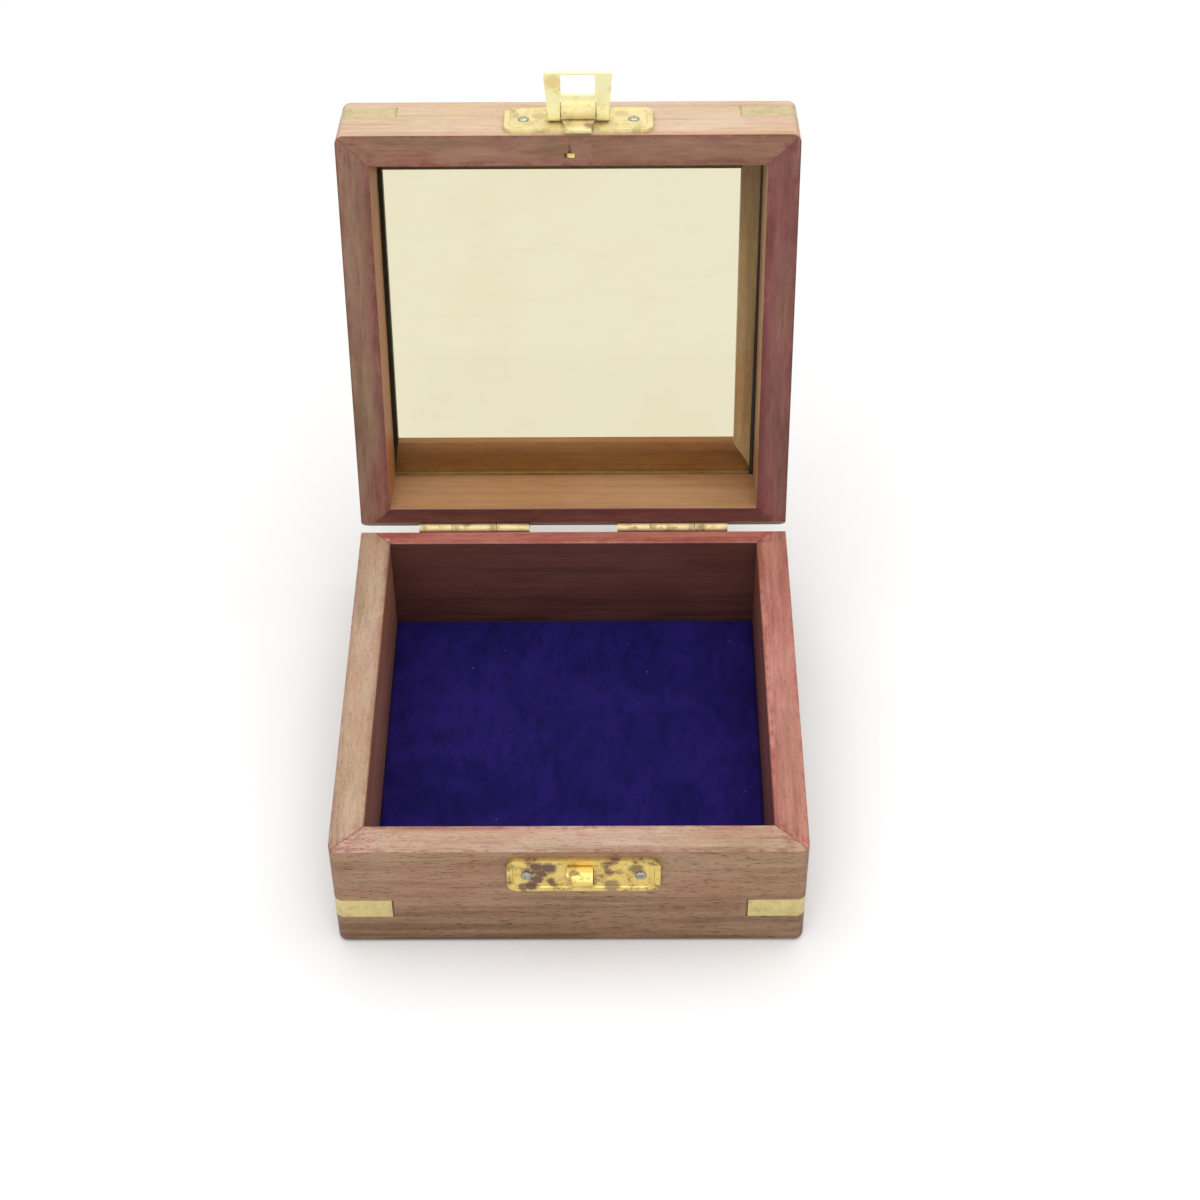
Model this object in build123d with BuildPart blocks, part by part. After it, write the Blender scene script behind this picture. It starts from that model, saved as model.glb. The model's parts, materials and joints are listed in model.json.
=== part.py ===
from build123d import *
import os
from math import cos, radians, sin, sqrt

# Hinged hardwood box with a glazed lid, a rolled brass hasp and inlaid brass corner straps.
# The frame has its origin at the centre of the base's underside, X right, Y back, Z up.
# The lid is modelled open, as it rests on its folded hinges. Lengths are in millimetres.

# Box and boards
box_width = 102.0
box_depth = 102.0
wall = 7.2
base_height = 31.0
lid_height = 20.6
corner_round = 2.0
bottom_round = 1.2
lid_round = 1.4
rim_ease = 0.25

# Bottom board and lining
board_thickness = 4.0
board_rebate = 3.2
board_fit = 0.1
lining_thickness = 1.1
lining_gap = 0.3
lining_corner = 1.5

# Glazing of the lid: the pane lies against outer lips whose widths differ from rail to rail
pane_depth = 16.1
pane_thickness = 2.0
pane_play = 0.2
pane_groove = 1.8
pane_edge_gap = 0.3
pane_edge_ease = 0.25
lip_front = 8.2
lip_back = 8.2
lip_left = 1.0
lip_right = 4.8

# Lid opening and the bevels along the rear seam edges, where the folded hinges stop it
open_angle = 101.4
bevel_width = 3.4

# Butt hinges, rolled from sheet
hinge_length = 26.4
hinge_offset = 23.8
barrel_radius = 1.2
leaf_thickness = 0.7
hinge_pin_radius = 0.45
hinge_bore_gap = 0.05
middle_knuckle = 10.5
knuckle_gap = 0.15
leaf_notch_gap = 0.3
leaf_end_inset = 0.3
leaf_corner = 0.6
roll_slit = 0.12

# Hinge nails
hinge_nail_spread = 17.6
hinge_nail_reach = 2.3
hinge_nail_shank = 0.4
hinge_nail_head = 0.85
hinge_nail_dome = 0.22
hinge_nail_length = 4.5

# Brass corner straps let in flush with the outside
strap_length = 12.5
strap_height = 5.6
strap_thickness = 0.8
strap_fit = 0.05
strap_end_gap = 0.5
base_strap_level = 8.9
lid_strap_rise = 10.6
strap_pin_radius = 0.45
strap_pin_length = 2.6
strap_pin_reach = 3.4

# Stamped plates of the hasp and the catch
hasp_centre = 2.3
plate_length = 32.7
plate_thickness = 0.8
plate_corner = 2.2
bead_width = 1.2
bead_height = 0.25
bead_slope = 35.0
hasp_plate_height = 12.6
hasp_plate_rise = 0.9
catch_plate_height = 9.9
catch_plate_drop = 2.1
catch_shift = 0.8

# Plate nails
plate_nail_spread = 24.3
plate_nail_shank = 0.6
plate_nail_head = 1.25
plate_nail_dome = 0.5
plate_nail_length = 6.5
nail_hole_gap = 0.05
nail_point = 1.6
nail_rim_share = 0.3
nail_crown_share = 0.55

# Bridge knuckle of the hasp plate, doubled back over the lower edge and rolled round the pin
bridge_width = 7.5
bridge_root_width = 5.8
bridge_sheet = 0.8
bridge_fold_gap = 0.15
hasp_pin_rise = 6.2
hasp_pin_radius = 1.6
hasp_bore_gap = 0.05
hasp_roll_slit = 0.2
hasp_pin_overhang = 0.25
pin_end_ease = 0.3

# Swinging flap of the hasp
flap_sheet = 0.7
flap_rest_angle = 111.4
flap_pin_width = 13.4
flap_end_width = 14.9
flap_length = 12.7
flap_corner = 0.8
leg_gap = 0.25
web_start = 5.35
window_start = 6.45
window_end = 12.2
window_width = 7.5
window_corner = 0.4

# Hooked nose of the catch and the hole it was cut from
nose_width = 5.6
nose_drop = 1.9
nose_reach = 3.0
nose_bend_radius = 1.4
nose_tip = 0.3
nose_hole_gap = 0.2
nose_hole_height = 5.0

# Bent brad in its torn pocket in the front mating face of the lid
brad_centre = 0.4
brad_side = 1.0
brad_inset = 4.75
brad_depth = 5.0
brad_bend = 0.7
brad_offset = 0.6
brad_foot = 1.05
brad_hole_gap = 0.05
brad_lift = 0.05
pocket_depth = 1.3
pocket_gap = 0.1

# The tear that leads to the brad: distance from the brad's middle and from the rail's outer face
tear_outline = ((-0.1, 1.9), (-0.55, 2.6), (-0.35, 3.3), (-0.6, 4.5), (0.35, 4.5), (0.4, 3.1), (0.1, 2.5))

# Worked out from the sizes above
half_width = box_width / 2
half_depth = box_depth / 2
inner_half_width = half_width - wall
inner_half_depth = half_depth - wall
bevel_angle = radians(open_angle / 2)
rim_rear = half_depth - bevel_width
bevel_length = bevel_width / cos(bevel_angle)
hinge_set_back = barrel_radius / sin(bevel_angle)
hinge_axis_y = rim_rear + hinge_set_back
leaf_foot = hinge_set_back * cos(bevel_angle)
leaf_reach = bevel_length - leaf_foot - leaf_end_inset
hinge_bore = hinge_pin_radius + hinge_bore_gap
hasp_bore = hasp_pin_radius + hasp_bore_gap
bridge_roll = hasp_bore + bridge_sheet
flap_roll = hasp_bore + flap_sheet
bridge_seat = plate_thickness + bridge_fold_gap
leg_start = bridge_width / 2 + leg_gap
lid_top = base_height + lid_height
pane_outer = pane_depth + pane_thickness


# Frames: sizes of the lid are written as if it were closed on the base, then its frame is opened
def opened(y, z):
    swing = radians(open_angle)
    dy = y - hinge_axis_y
    dz = z - base_height
    opened_y = hinge_axis_y + dy * cos(swing) + dz * sin(swing)
    opened_z = base_height - dy * sin(swing) + dz * cos(swing)
    return (opened_y, opened_z)


base_frame = Plane.XY
lid_frame = Plane(
    origin=(0, *opened(0, 0)),
    x_dir=(1, 0, 0),
    z_dir=(0, sin(radians(open_angle)), cos(radians(open_angle))),
)


def place(frame, x, y, z):
    return frame.from_local_coords((x, y, z))


def facing_front(frame, depth, x=0.0, z=0.0):
    return Plane(origin=place(frame, x, depth, z), x_dir=frame.x_dir, z_dir=-frame.y_dir)


def facing_side(frame, x):
    return Plane(origin=place(frame, x, 0, 0), x_dir=frame.y_dir, z_dir=frame.x_dir)


def bevel_seat(frame, half, x):
    # Lies on the bevel at the foot of the barrel, local Y down the bevel; half is 1 lid, -1 base
    along_y = rim_rear + leaf_foot * cos(bevel_angle)
    along_z = base_height + half * leaf_foot * sin(bevel_angle)
    normal = frame.y_dir * sin(bevel_angle) - frame.z_dir * (half * cos(bevel_angle))
    return Plane(origin=place(frame, x, along_y, along_z), x_dir=frame.x_dir * -half, z_dir=normal)


def save(piece, name):
    piece.part.label = name
    export_step(piece.part, f"parts/{name}.step")


# Nails and pins
def driven_nail(seat, shank, head, dome, length):
    # Turned about the seat's normal: pointed shank below the seat, crowned head above it
    with BuildSketch(Plane(origin=seat.origin, x_dir=seat.x_dir, z_dir=-seat.y_dir)) as section:
        with BuildLine():
            Polyline(
                (0, dome),
                (0, -length),
                (shank, nail_point - length),
                (shank, 0),
                (head, 0),
                (head, dome * nail_rim_share),
                (head * nail_crown_share, dome),
                close=True,
            )
        make_face()
    revolve(section.sketch, axis=Axis(seat.origin, seat.z_dir))


def flush_pin(seat, radius, length):
    with BuildSketch(seat) as section:
        Circle(radius)
    extrude(section.sketch, amount=-length)


def bore_below(seat, radius, length):
    with BuildSketch(seat) as section:
        Circle(radius)
    extrude(section.sketch, amount=-length, mode=Mode.SUBTRACT)


def nail_seats(plane, spread, y=0.0):
    seats = []
    for side in (-1, 1):
        origin = plane.from_local_coords((side * spread / 2, y, 0))
        seats.append(Plane(origin=origin, x_dir=plane.x_dir, z_dir=plane.z_dir))
    return seats


# Sheet rolled into a knuckle: the seat lies under the sheet at the foot of the roll
def rolled_knuckle(seat, start, length, outer, bore, slit):
    profile = Plane(
        origin=seat.from_local_coords((start, 0, outer)), x_dir=seat.y_dir, z_dir=seat.x_dir
    )
    with BuildSketch(profile) as section:
        Circle(outer)
        Circle(bore, mode=Mode.SUBTRACT)
        with Locations((outer / 2, slit / 2 - bore)):
            Rectangle(outer, slit, mode=Mode.SUBTRACT)
    extrude(section.sketch, amount=length)


# Where the nails and pins stand
hinge_sides = {"left": -hinge_offset, "right": hinge_offset}
halves = {"base": (base_frame, -1), "lid": (lid_frame, 1)}


def hinge_nail_seats(frame, half):
    seats = []
    for x in hinge_sides.values():
        sheet_top = bevel_seat(frame, half, x).offset(leaf_thickness)
        seats += nail_seats(sheet_top, hinge_nail_spread, hinge_nail_reach)
    return seats


def strap_pin_seats(frame, level):
    # One pin through the front or back leg of each strap
    seats = []
    for side_x in (-1, 1):
        for side_y in (-1, 1):
            origin = place(frame, side_x * (half_width - strap_pin_reach), side_y * half_depth, level)
            seats.append(Plane(origin=origin, z_dir=frame.y_dir * side_y))
    return seats


hasp_mid = base_height + hasp_plate_rise + hasp_plate_height / 2
catch_mid = base_height - catch_plate_drop - catch_plate_height / 2
hasp_face = facing_front(lid_frame, -half_depth, hasp_centre, hasp_mid)
catch_face = facing_front(base_frame, -half_depth, hasp_centre + catch_shift, catch_mid)
hasp_nail_seats = nail_seats(hasp_face.offset(plate_thickness), plate_nail_spread)
catch_nail_seats = nail_seats(catch_face.offset(plate_thickness), plate_nail_spread)
base_strap_seats = strap_pin_seats(base_frame, base_strap_level + strap_height / 2)
lid_strap_seats = strap_pin_seats(lid_frame, base_height + lid_strap_rise + strap_height / 2)


# Cuts shared by the two halves of the box
def cut_box(frame, low, high, x_low, x_high, y_low, y_high):
    with BuildSketch(frame.offset(low)) as opening:
        with Locations(((x_low + x_high) / 2, (y_low + y_high) / 2)):
            Rectangle(x_high - x_low, y_high - y_low)
    extrude(opening.sketch, amount=high - low, mode=Mode.SUBTRACT)


def cut_rear_bevel(frame, half):
    depth = bevel_length * sin(bevel_angle)
    clear = 1.0
    with BuildSketch(facing_side(frame, -half_width - clear)) as wedge:
        with BuildLine():
            Polyline(
                (rim_rear, base_height),
                (half_depth, base_height + half * depth),
                (half_depth + clear, base_height + half * depth),
                (half_depth + clear, base_height - half * clear),
                (rim_rear, base_height - half * clear),
                close=True,
            )
        make_face()
    extrude(wedge.sketch, amount=box_width + 2 * clear, mode=Mode.SUBTRACT)


def corner_band(plane, legs, thickness, sides):
    # L-shaped outline that follows the outside of the box round the corners in sides
    with BuildSketch(plane) as band:
        for side_x, side_y in sides:
            with Locations((side_x * (half_width - legs / 2), side_y * (half_depth - legs / 2))):
                Rectangle(legs, legs)
        RectangleRounded(box_width, box_depth, corner_round, mode=Mode.INTERSECT)
        RectangleRounded(
            box_width - 2 * thickness,
            box_depth - 2 * thickness,
            corner_round - thickness,
            mode=Mode.SUBTRACT,
        )
    return band.sketch


corner_sides = {
    "front_left": (-1, -1),
    "front_right": (1, -1),
    "back_left": (-1, 1),
    "back_right": (1, 1),
}


def cut_strap_grooves(frame, level):
    groove = frame.offset(level - strap_fit)
    outline = corner_band(groove, strap_length + strap_end_gap, strap_thickness, corner_sides.values())
    extrude(outline, amount=strap_height + 2 * strap_fit, mode=Mode.SUBTRACT)


def cut_nail_holes(frame, half, strap_seats, plate_seats):
    for seat in strap_seats:
        bore_below(seat, strap_pin_radius + nail_hole_gap, strap_pin_length + nail_hole_gap)
    for seat in plate_seats:
        bore_below(seat, plate_nail_shank + nail_hole_gap, plate_nail_length + nail_hole_gap)
    for seat in hinge_nail_seats(frame, half):
        bore_below(seat, hinge_nail_shank + nail_hole_gap, hinge_nail_length + nail_hole_gap)


def mitred_outlines(window):
    # Plan of the four boards, mitred at the corners and on to the corners of the window
    low_x, high_x, low_y, high_y = window
    over = 2.0
    sides = corner_sides.values()
    outer = {(x, y): (x * (half_width + over), y * (half_depth + over)) for x, y in sides}
    inner = {(x, y): (x * inner_half_width, y * inner_half_depth) for x, y in sides}
    middle = {
        (-1, -1): (low_x, low_y),
        (1, -1): (high_x, low_y),
        (-1, 1): (low_x, high_y),
        (1, 1): (high_x, high_y),
    }
    ends = {
        "front": ((-1, -1), (1, -1)),
        "right": ((1, -1), (1, 1)),
        "back": ((1, 1), (-1, 1)),
        "left": ((-1, 1), (-1, -1)),
    }
    outlines = {}
    for side, (first, last) in ends.items():
        path = [outer[first], outer[last], inner[last], middle[last], middle[first], inner[first]]
        outlines[side] = list(dict.fromkeys(path))
    return outlines


def save_boards(ring, frame, low, high, window, prefix, suffix):
    for side, outline in mitred_outlines(window).items():
        with BuildPart() as board:
            add(ring.part)
            with BuildSketch(frame.offset(low)) as plan:
                with BuildLine():
                    Polyline(*outline, close=True)
                make_face()
            extrude(plan.sketch, amount=high - low, mode=Mode.INTERSECT)
        save(board, f"{prefix}_{side}_{suffix}")


# Base: four mitred walls round a rebated bottom board
def build_base():
    inside = (-inner_half_width, inner_half_width, -inner_half_depth, inner_half_depth)
    with BuildPart() as ring:
        with BuildSketch(base_frame) as outside:
            RectangleRounded(box_width, box_depth, corner_round)
        extrude(outside.sketch, amount=base_height)
        fillet(ring.faces().sort_by(Axis.Z)[0].edges(), bottom_round)
        cut_box(base_frame, 0, base_height, *inside)
        chamfer(ring.faces().sort_by(Axis.Z)[-1].edges(), rim_ease)
        rebate_x = inner_half_width + board_rebate
        rebate_y = inner_half_depth + board_rebate
        cut_box(base_frame, 0, board_thickness, -rebate_x, rebate_x, -rebate_y, rebate_y)
        cut_rear_bevel(base_frame, -1)
        cut_strap_grooves(base_frame, base_strap_level)
        cut_nail_holes(base_frame, -1, base_strap_seats, catch_nail_seats)
    save_boards(ring, base_frame, 0, base_height, inside, "base", "wall")

    with BuildPart() as board:
        with BuildSketch(base_frame):
            Rectangle(2 * (rebate_x - board_fit), 2 * (rebate_y - board_fit))
        extrude(amount=board_thickness)
    save(board, "base_bottom_board")

    with BuildPart() as lining:
        with BuildSketch(base_frame.offset(board_thickness)):
            RectangleRounded(
                2 * (inner_half_width - lining_gap), 2 * (inner_half_depth - lining_gap), lining_corner
            )
        extrude(amount=lining_thickness)
    save(lining, "velvet_lining")


# Lid: four mitred rails with a groove for the pane and an outer lip
def build_lid():
    up = Axis(lid_frame.origin, lid_frame.z_dir)
    inside = (-inner_half_width, inner_half_width, -inner_half_depth, inner_half_depth)
    window = (
        lip_left - inner_half_width,
        inner_half_width - lip_right,
        lip_front - inner_half_depth,
        inner_half_depth - lip_back,
    )
    groove_x = inner_half_width + pane_groove
    groove_y = inner_half_depth + pane_groove
    groove = (-groove_x, groove_x, -groove_y, groove_y)
    seam = base_height
    with BuildPart() as ring:
        with BuildSketch(lid_frame.offset(seam)) as outside:
            RectangleRounded(box_width, box_depth, corner_round)
        extrude(outside.sketch, amount=lid_height)
        fillet(ring.faces().sort_by(up)[-1].edges(), lid_round)
        cut_box(lid_frame, seam, lid_top, *window)
        cut_box(lid_frame, seam, seam + pane_outer, *inside)
        chamfer(ring.faces().sort_by(up)[0].edges(), rim_ease)
        cut_box(lid_frame, seam + pane_depth - pane_play, seam + pane_outer, *groove)
        cut_rear_bevel(lid_frame, 1)
        cut_strap_grooves(lid_frame, base_height + lid_strap_rise)
        cut_nail_holes(lid_frame, 1, lid_strap_seats, hasp_nail_seats)
        cut_brad_pocket()
    save_boards(ring, lid_frame, seam, lid_top, window, "lid", "rail")

    with BuildPart() as pane:
        with BuildSketch(lid_frame.offset(seam + pane_depth)):
            Rectangle(2 * (groove_x - pane_edge_gap), 2 * (groove_y - pane_edge_gap))
        extrude(amount=pane_thickness)
        rims = pane.faces().sort_by(up)
        chamfer(rims[0].edges() + rims[-1].edges(), pane_edge_ease)
    save(pane, "glass_pane")


# Torn pocket in the front rail's mating face, and the bent brad that lies in it
def cut_brad_pocket():
    mouth = lid_frame.offset(base_height)
    brad_y = brad_inset - half_depth
    bed_left = -brad_offset - brad_side / 2 - pocket_gap
    bed_right = brad_foot + pocket_gap
    with BuildSketch(mouth) as tear:
        with BuildLine():
            Polyline(*((brad_centre + x, inset - half_depth) for x, inset in tear_outline), close=True)
        make_face()
        with Locations((brad_centre + (bed_left + bed_right) / 2, brad_y)):
            Rectangle(bed_right - bed_left, brad_side + 2 * pocket_gap)
    extrude(tear.sketch, amount=pocket_depth, mode=Mode.SUBTRACT)
    with BuildSketch(mouth) as hole:
        with Locations((brad_centre - brad_offset, brad_y)):
            Rectangle(brad_side + 2 * brad_hole_gap, brad_side + 2 * brad_hole_gap)
    extrude(hole.sketch, amount=brad_depth + brad_hole_gap, mode=Mode.SUBTRACT)


def build_rim_brad():
    brad_y = brad_inset - half_depth
    level = base_height + brad_side / 2 + brad_lift
    with BuildPart() as brad:
        with BuildLine(facing_front(lid_frame, brad_y, brad_centre)) as route:
            FilletPolyline(
                (-brad_offset, base_height + brad_depth),
                (-brad_offset, level),
                (brad_foot, level),
                radius=brad_bend,
            )
        with BuildSketch(Plane(origin=route.line @ 0, x_dir=lid_frame.x_dir, z_dir=route.line % 0)):
            Rectangle(brad_side, brad_side)
        sweep()
    save(brad, "rim_brad")


# Corner straps and their pins
def build_straps(half_name, frame, level, seats):
    for corner, side in corner_sides.items():
        outline = corner_band(frame.offset(level), strap_length, strap_thickness, [side])
        with BuildPart() as strap:
            extrude(outline, amount=strap_height)
            for seat in seats:
                bore_below(seat, strap_pin_radius + nail_hole_gap, strap_thickness)
        save(strap, f"{half_name}_strip_{corner}")
    with BuildPart() as pins:
        for seat in seats:
            flush_pin(seat, strap_pin_radius, strap_pin_length)
    save(pins, f"{half_name}_strip_pins")


# Hinges: the base leaf has the outer knuckles, the lid leaf the middle one
def leaf_knuckles(half):
    gap_start = middle_knuckle / 2 + knuckle_gap
    outer_length = hinge_length / 2 - gap_start
    if half < 0:
        return [(-hinge_length / 2, outer_length), (gap_start, outer_length)]
    return [(-middle_knuckle / 2, middle_knuckle)]


def leaf_notches(half):
    gap_start = middle_knuckle / 2 + knuckle_gap
    outer_length = hinge_length / 2 - middle_knuckle / 2
    if half < 0:
        return [(0, 2 * gap_start)]
    centre = (hinge_length / 2 + middle_knuckle / 2) / 2
    return [(-centre, outer_length), (centre, outer_length)]


def build_hinge_leaf(side, half_name):
    frame, half = halves[half_name]
    seat = bevel_seat(frame, half, hinge_sides[side])
    notch_depth = sqrt(barrel_radius**2 - (barrel_radius - leaf_thickness) ** 2) + leaf_notch_gap
    with BuildPart() as leaf:
        with BuildSketch(seat) as outline:
            with Locations((0, leaf_reach / 2)):
                Rectangle(hinge_length, leaf_reach)
            fillet(outline.vertices().group_by(Axis.Y)[-1], leaf_corner)
            for x, width in leaf_notches(half):
                with Locations((x, notch_depth / 2)):
                    Rectangle(width, notch_depth, mode=Mode.SUBTRACT)
        extrude(outline.sketch, amount=leaf_thickness)
        for start, length in leaf_knuckles(half):
            rolled_knuckle(seat, start, length, barrel_radius, hinge_bore, roll_slit)
        for nail in nail_seats(seat.offset(leaf_thickness), hinge_nail_spread, hinge_nail_reach):
            bore_below(nail, hinge_nail_shank + nail_hole_gap, leaf_thickness)
    save(leaf, f"hinge_{side}_{half_name}_leaf")


def build_hinge_pin(side):
    axis_end = place(base_frame, hinge_sides[side] - hinge_length / 2, hinge_axis_y, base_height)
    with BuildPart() as pin:
        with BuildSketch(Plane(origin=axis_end, z_dir=(1, 0, 0))):
            Circle(hinge_pin_radius)
        extrude(amount=hinge_length)
    save(pin, f"hinge_{side}_pin")


def build_hinge_nails(half_name):
    frame, half = halves[half_name]
    with BuildPart() as nails:
        for seat in hinge_nail_seats(frame, half):
            driven_nail(seat, hinge_nail_shank, hinge_nail_head, hinge_nail_dome, hinge_nail_length)
    save(nails, f"{half_name}_hinge_nails")


# Stamped plate with a raised bead round its edge
def stamped_plate(face, height):
    with BuildSketch(face) as outline:
        RectangleRounded(plate_length, height, plate_corner)
    extrude(outline.sketch, amount=plate_thickness + bead_height)
    inner_corner = plate_corner - bead_width / 2
    with BuildSketch(face.offset(plate_thickness + bead_height)) as field:
        RectangleRounded(plate_length - 2 * bead_width, height - 2 * bead_width, inner_corner)
    extrude(field.sketch, amount=-bead_height, taper=bead_slope, mode=Mode.SUBTRACT)


def cut_plate_nail_holes(seats):
    for seat in seats:
        bore_below(seat, plate_nail_shank + nail_hole_gap, plate_thickness)


# Hasp plate: its bridge is doubled back over the lower edge and rolled round the pin
bridge_plane = Plane(
    origin=place(lid_frame, hasp_centre, -half_depth - bridge_seat, base_height + hasp_pin_rise),
    x_dir=-lid_frame.x_dir,
    z_dir=-lid_frame.y_dir,
)


def build_hasp_plate():
    fold_drop = hasp_pin_rise - hasp_plate_rise
    fold_outer = (bridge_seat + bridge_sheet) / 2
    fold_origin = bridge_plane.from_local_coords(
        (-bridge_root_width / 2, fold_drop, fold_outer - bridge_seat)
    )
    fold_plane = Plane(origin=fold_origin, x_dir=bridge_plane.y_dir, z_dir=bridge_plane.x_dir)
    with BuildPart() as plate:
        stamped_plate(hasp_face, hasp_plate_height)
        with BuildSketch(hasp_face.offset(plate_thickness)):
            with Locations((0, -hasp_plate_height / 2)):
                Rectangle(bridge_root_width, 2 * bead_width + bead_height)
        extrude(amount=bead_height, mode=Mode.SUBTRACT)
        with BuildSketch(bridge_plane):
            with BuildLine():
                Polyline(
                    (-bridge_width / 2, 0),
                    (bridge_width / 2, 0),
                    (bridge_root_width / 2, fold_drop),
                    (-bridge_root_width / 2, fold_drop),
                    close=True,
                )
            make_face()
        extrude(amount=bridge_sheet)
        with BuildSketch(fold_plane):
            Circle(fold_outer)
            Circle(bridge_fold_gap / 2, mode=Mode.SUBTRACT)
            with Locations((-fold_outer, 0)):
                Rectangle(2 * fold_outer, 2 * fold_outer, mode=Mode.SUBTRACT)
        extrude(amount=bridge_root_width)
        rolled_knuckle(bridge_plane, -bridge_width / 2, bridge_width, bridge_roll, hasp_bore, hasp_roll_slit)
        cut_plate_nail_holes(hasp_nail_seats)
    save(plate, "hasp_plate")


def build_hasp_pin():
    half_length = flap_pin_width / 2 + hasp_pin_overhang
    end = bridge_plane.from_local_coords((-half_length, 0, bridge_roll))
    with BuildPart() as pin:
        with BuildSketch(Plane(origin=end, z_dir=bridge_plane.x_dir)):
            Circle(hasp_pin_radius)
        extrude(amount=2 * half_length)
        chamfer(pin.edges().filter_by(GeomType.CIRCLE), pin_end_ease)
    save(pin, "hasp_pin")


# Flap: rolled legs, a web and a window; its sheet lies on the side of the rolls that faces the box
def flap_seat():
    rest = radians(flap_rest_angle)
    inward = -lid_frame.z_dir * sin(rest) - lid_frame.y_dir * cos(rest)
    pin_centre = bridge_plane.from_local_coords((0, 0, bridge_roll))
    return Plane(origin=pin_centre + inward * flap_roll, x_dir=-lid_frame.x_dir, z_dir=-inward)


def build_hasp_flap():
    seat = flap_seat()
    with BuildPart() as flap:
        with BuildSketch(seat) as outline:
            with BuildLine():
                Polyline(
                    (-flap_pin_width / 2, 0),
                    (flap_pin_width / 2, 0),
                    (flap_end_width / 2, flap_length),
                    (-flap_end_width / 2, flap_length),
                    close=True,
                )
            make_face()
            fillet(outline.vertices().group_by(Axis.Y)[-1], flap_corner)
            with Locations((0, web_start / 2)):
                Rectangle(2 * leg_start, web_start, mode=Mode.SUBTRACT)
            with Locations((0, (window_start + window_end) / 2)):
                RectangleRounded(window_width, window_end - window_start, window_corner, mode=Mode.SUBTRACT)
        extrude(amount=flap_sheet)
        leg_width = flap_pin_width / 2 - leg_start
        for start in (-flap_pin_width / 2, leg_start):
            rolled_knuckle(seat, start, leg_width, flap_roll, hasp_bore, hasp_roll_slit)
    save(flap, "hasp_flap")


# Catch plate: its nose is a tongue cut from the plate and bent out and down
def build_catch_plate():
    top = catch_plate_height / 2
    root = top - nose_drop
    arc_turn = nose_bend_radius * sqrt(0.5)
    bend_centre = (root - nose_bend_radius, nose_reach)
    tip_out = nose_reach + nose_bend_radius
    hole_top = root - plate_thickness / 2
    side = Plane(
        origin=catch_face.from_local_coords((-catch_shift - nose_width / 2, 0, 0)),
        x_dir=catch_face.y_dir,
        z_dir=catch_face.x_dir,
    )
    with BuildPart() as plate:
        stamped_plate(catch_face, catch_plate_height)
        with BuildSketch(catch_face):
            with Locations((-catch_shift, hole_top - nose_hole_height / 2)):
                Rectangle(nose_width + 2 * nose_hole_gap, nose_hole_height)
        extrude(amount=plate_thickness, mode=Mode.SUBTRACT)
        with BuildSketch(side):
            with BuildLine() as nose:
                Line((root, 0), (root, nose_reach))
                ThreePointArc(
                    (root, nose_reach),
                    (bend_centre[0] + arc_turn, bend_centre[1] + arc_turn),
                    (bend_centre[0], tip_out),
                )
                Line((bend_centre[0], tip_out), (bend_centre[0] - nose_tip, tip_out))
            trace(nose.line, line_width=plate_thickness)
        extrude(amount=nose_width)
        cut_plate_nail_holes(catch_nail_seats)
    save(plate, "catch_plate")


def build_plate_nails(name, seats):
    with BuildPart() as nails:
        for seat in seats:
            driven_nail(seat, plate_nail_shank, plate_nail_head, plate_nail_dome, plate_nail_length)
    save(nails, name)


os.makedirs("parts", exist_ok=True)
build_base()
build_lid()
build_rim_brad()
build_straps("base", base_frame, base_strap_level, base_strap_seats)
build_straps("lid", lid_frame, base_height + lid_strap_rise, lid_strap_seats)
for hinge_side in hinge_sides:
    build_hinge_leaf(hinge_side, "base")
    build_hinge_leaf(hinge_side, "lid")
    build_hinge_pin(hinge_side)
for half_name in halves:
    build_hinge_nails(half_name)
build_hasp_plate()
build_hasp_pin()
build_plate_nails("hasp_nails", hasp_nail_seats)
build_hasp_flap()
build_catch_plate()
build_plate_nails("catch_nails", catch_nail_seats)
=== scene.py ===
"""Looks of the hinged hardwood box: wood, brass, steel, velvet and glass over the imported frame."""

import json
from math import cos, hypot, radians, sin

import bmesh
import bpy
from mathutils import Matrix, Vector, noise


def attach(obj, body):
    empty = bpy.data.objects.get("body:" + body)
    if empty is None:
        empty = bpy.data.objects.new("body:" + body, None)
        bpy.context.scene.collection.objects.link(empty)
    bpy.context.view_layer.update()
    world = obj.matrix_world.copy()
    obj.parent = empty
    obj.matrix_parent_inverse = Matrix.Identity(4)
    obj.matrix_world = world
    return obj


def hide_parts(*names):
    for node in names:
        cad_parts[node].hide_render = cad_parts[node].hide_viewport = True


MM = 0.001

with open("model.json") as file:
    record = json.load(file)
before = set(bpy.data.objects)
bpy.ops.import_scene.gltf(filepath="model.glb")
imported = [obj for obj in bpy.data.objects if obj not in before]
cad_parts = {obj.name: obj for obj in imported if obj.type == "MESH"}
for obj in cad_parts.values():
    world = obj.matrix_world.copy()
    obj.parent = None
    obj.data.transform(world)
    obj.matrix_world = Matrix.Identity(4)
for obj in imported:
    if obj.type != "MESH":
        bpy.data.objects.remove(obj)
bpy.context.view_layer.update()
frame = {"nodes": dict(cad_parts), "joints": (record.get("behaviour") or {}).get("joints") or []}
nodes = frame["nodes"]
hinge = next(j for j in frame["joints"] if j["name"] == "lid_hinge")

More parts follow.
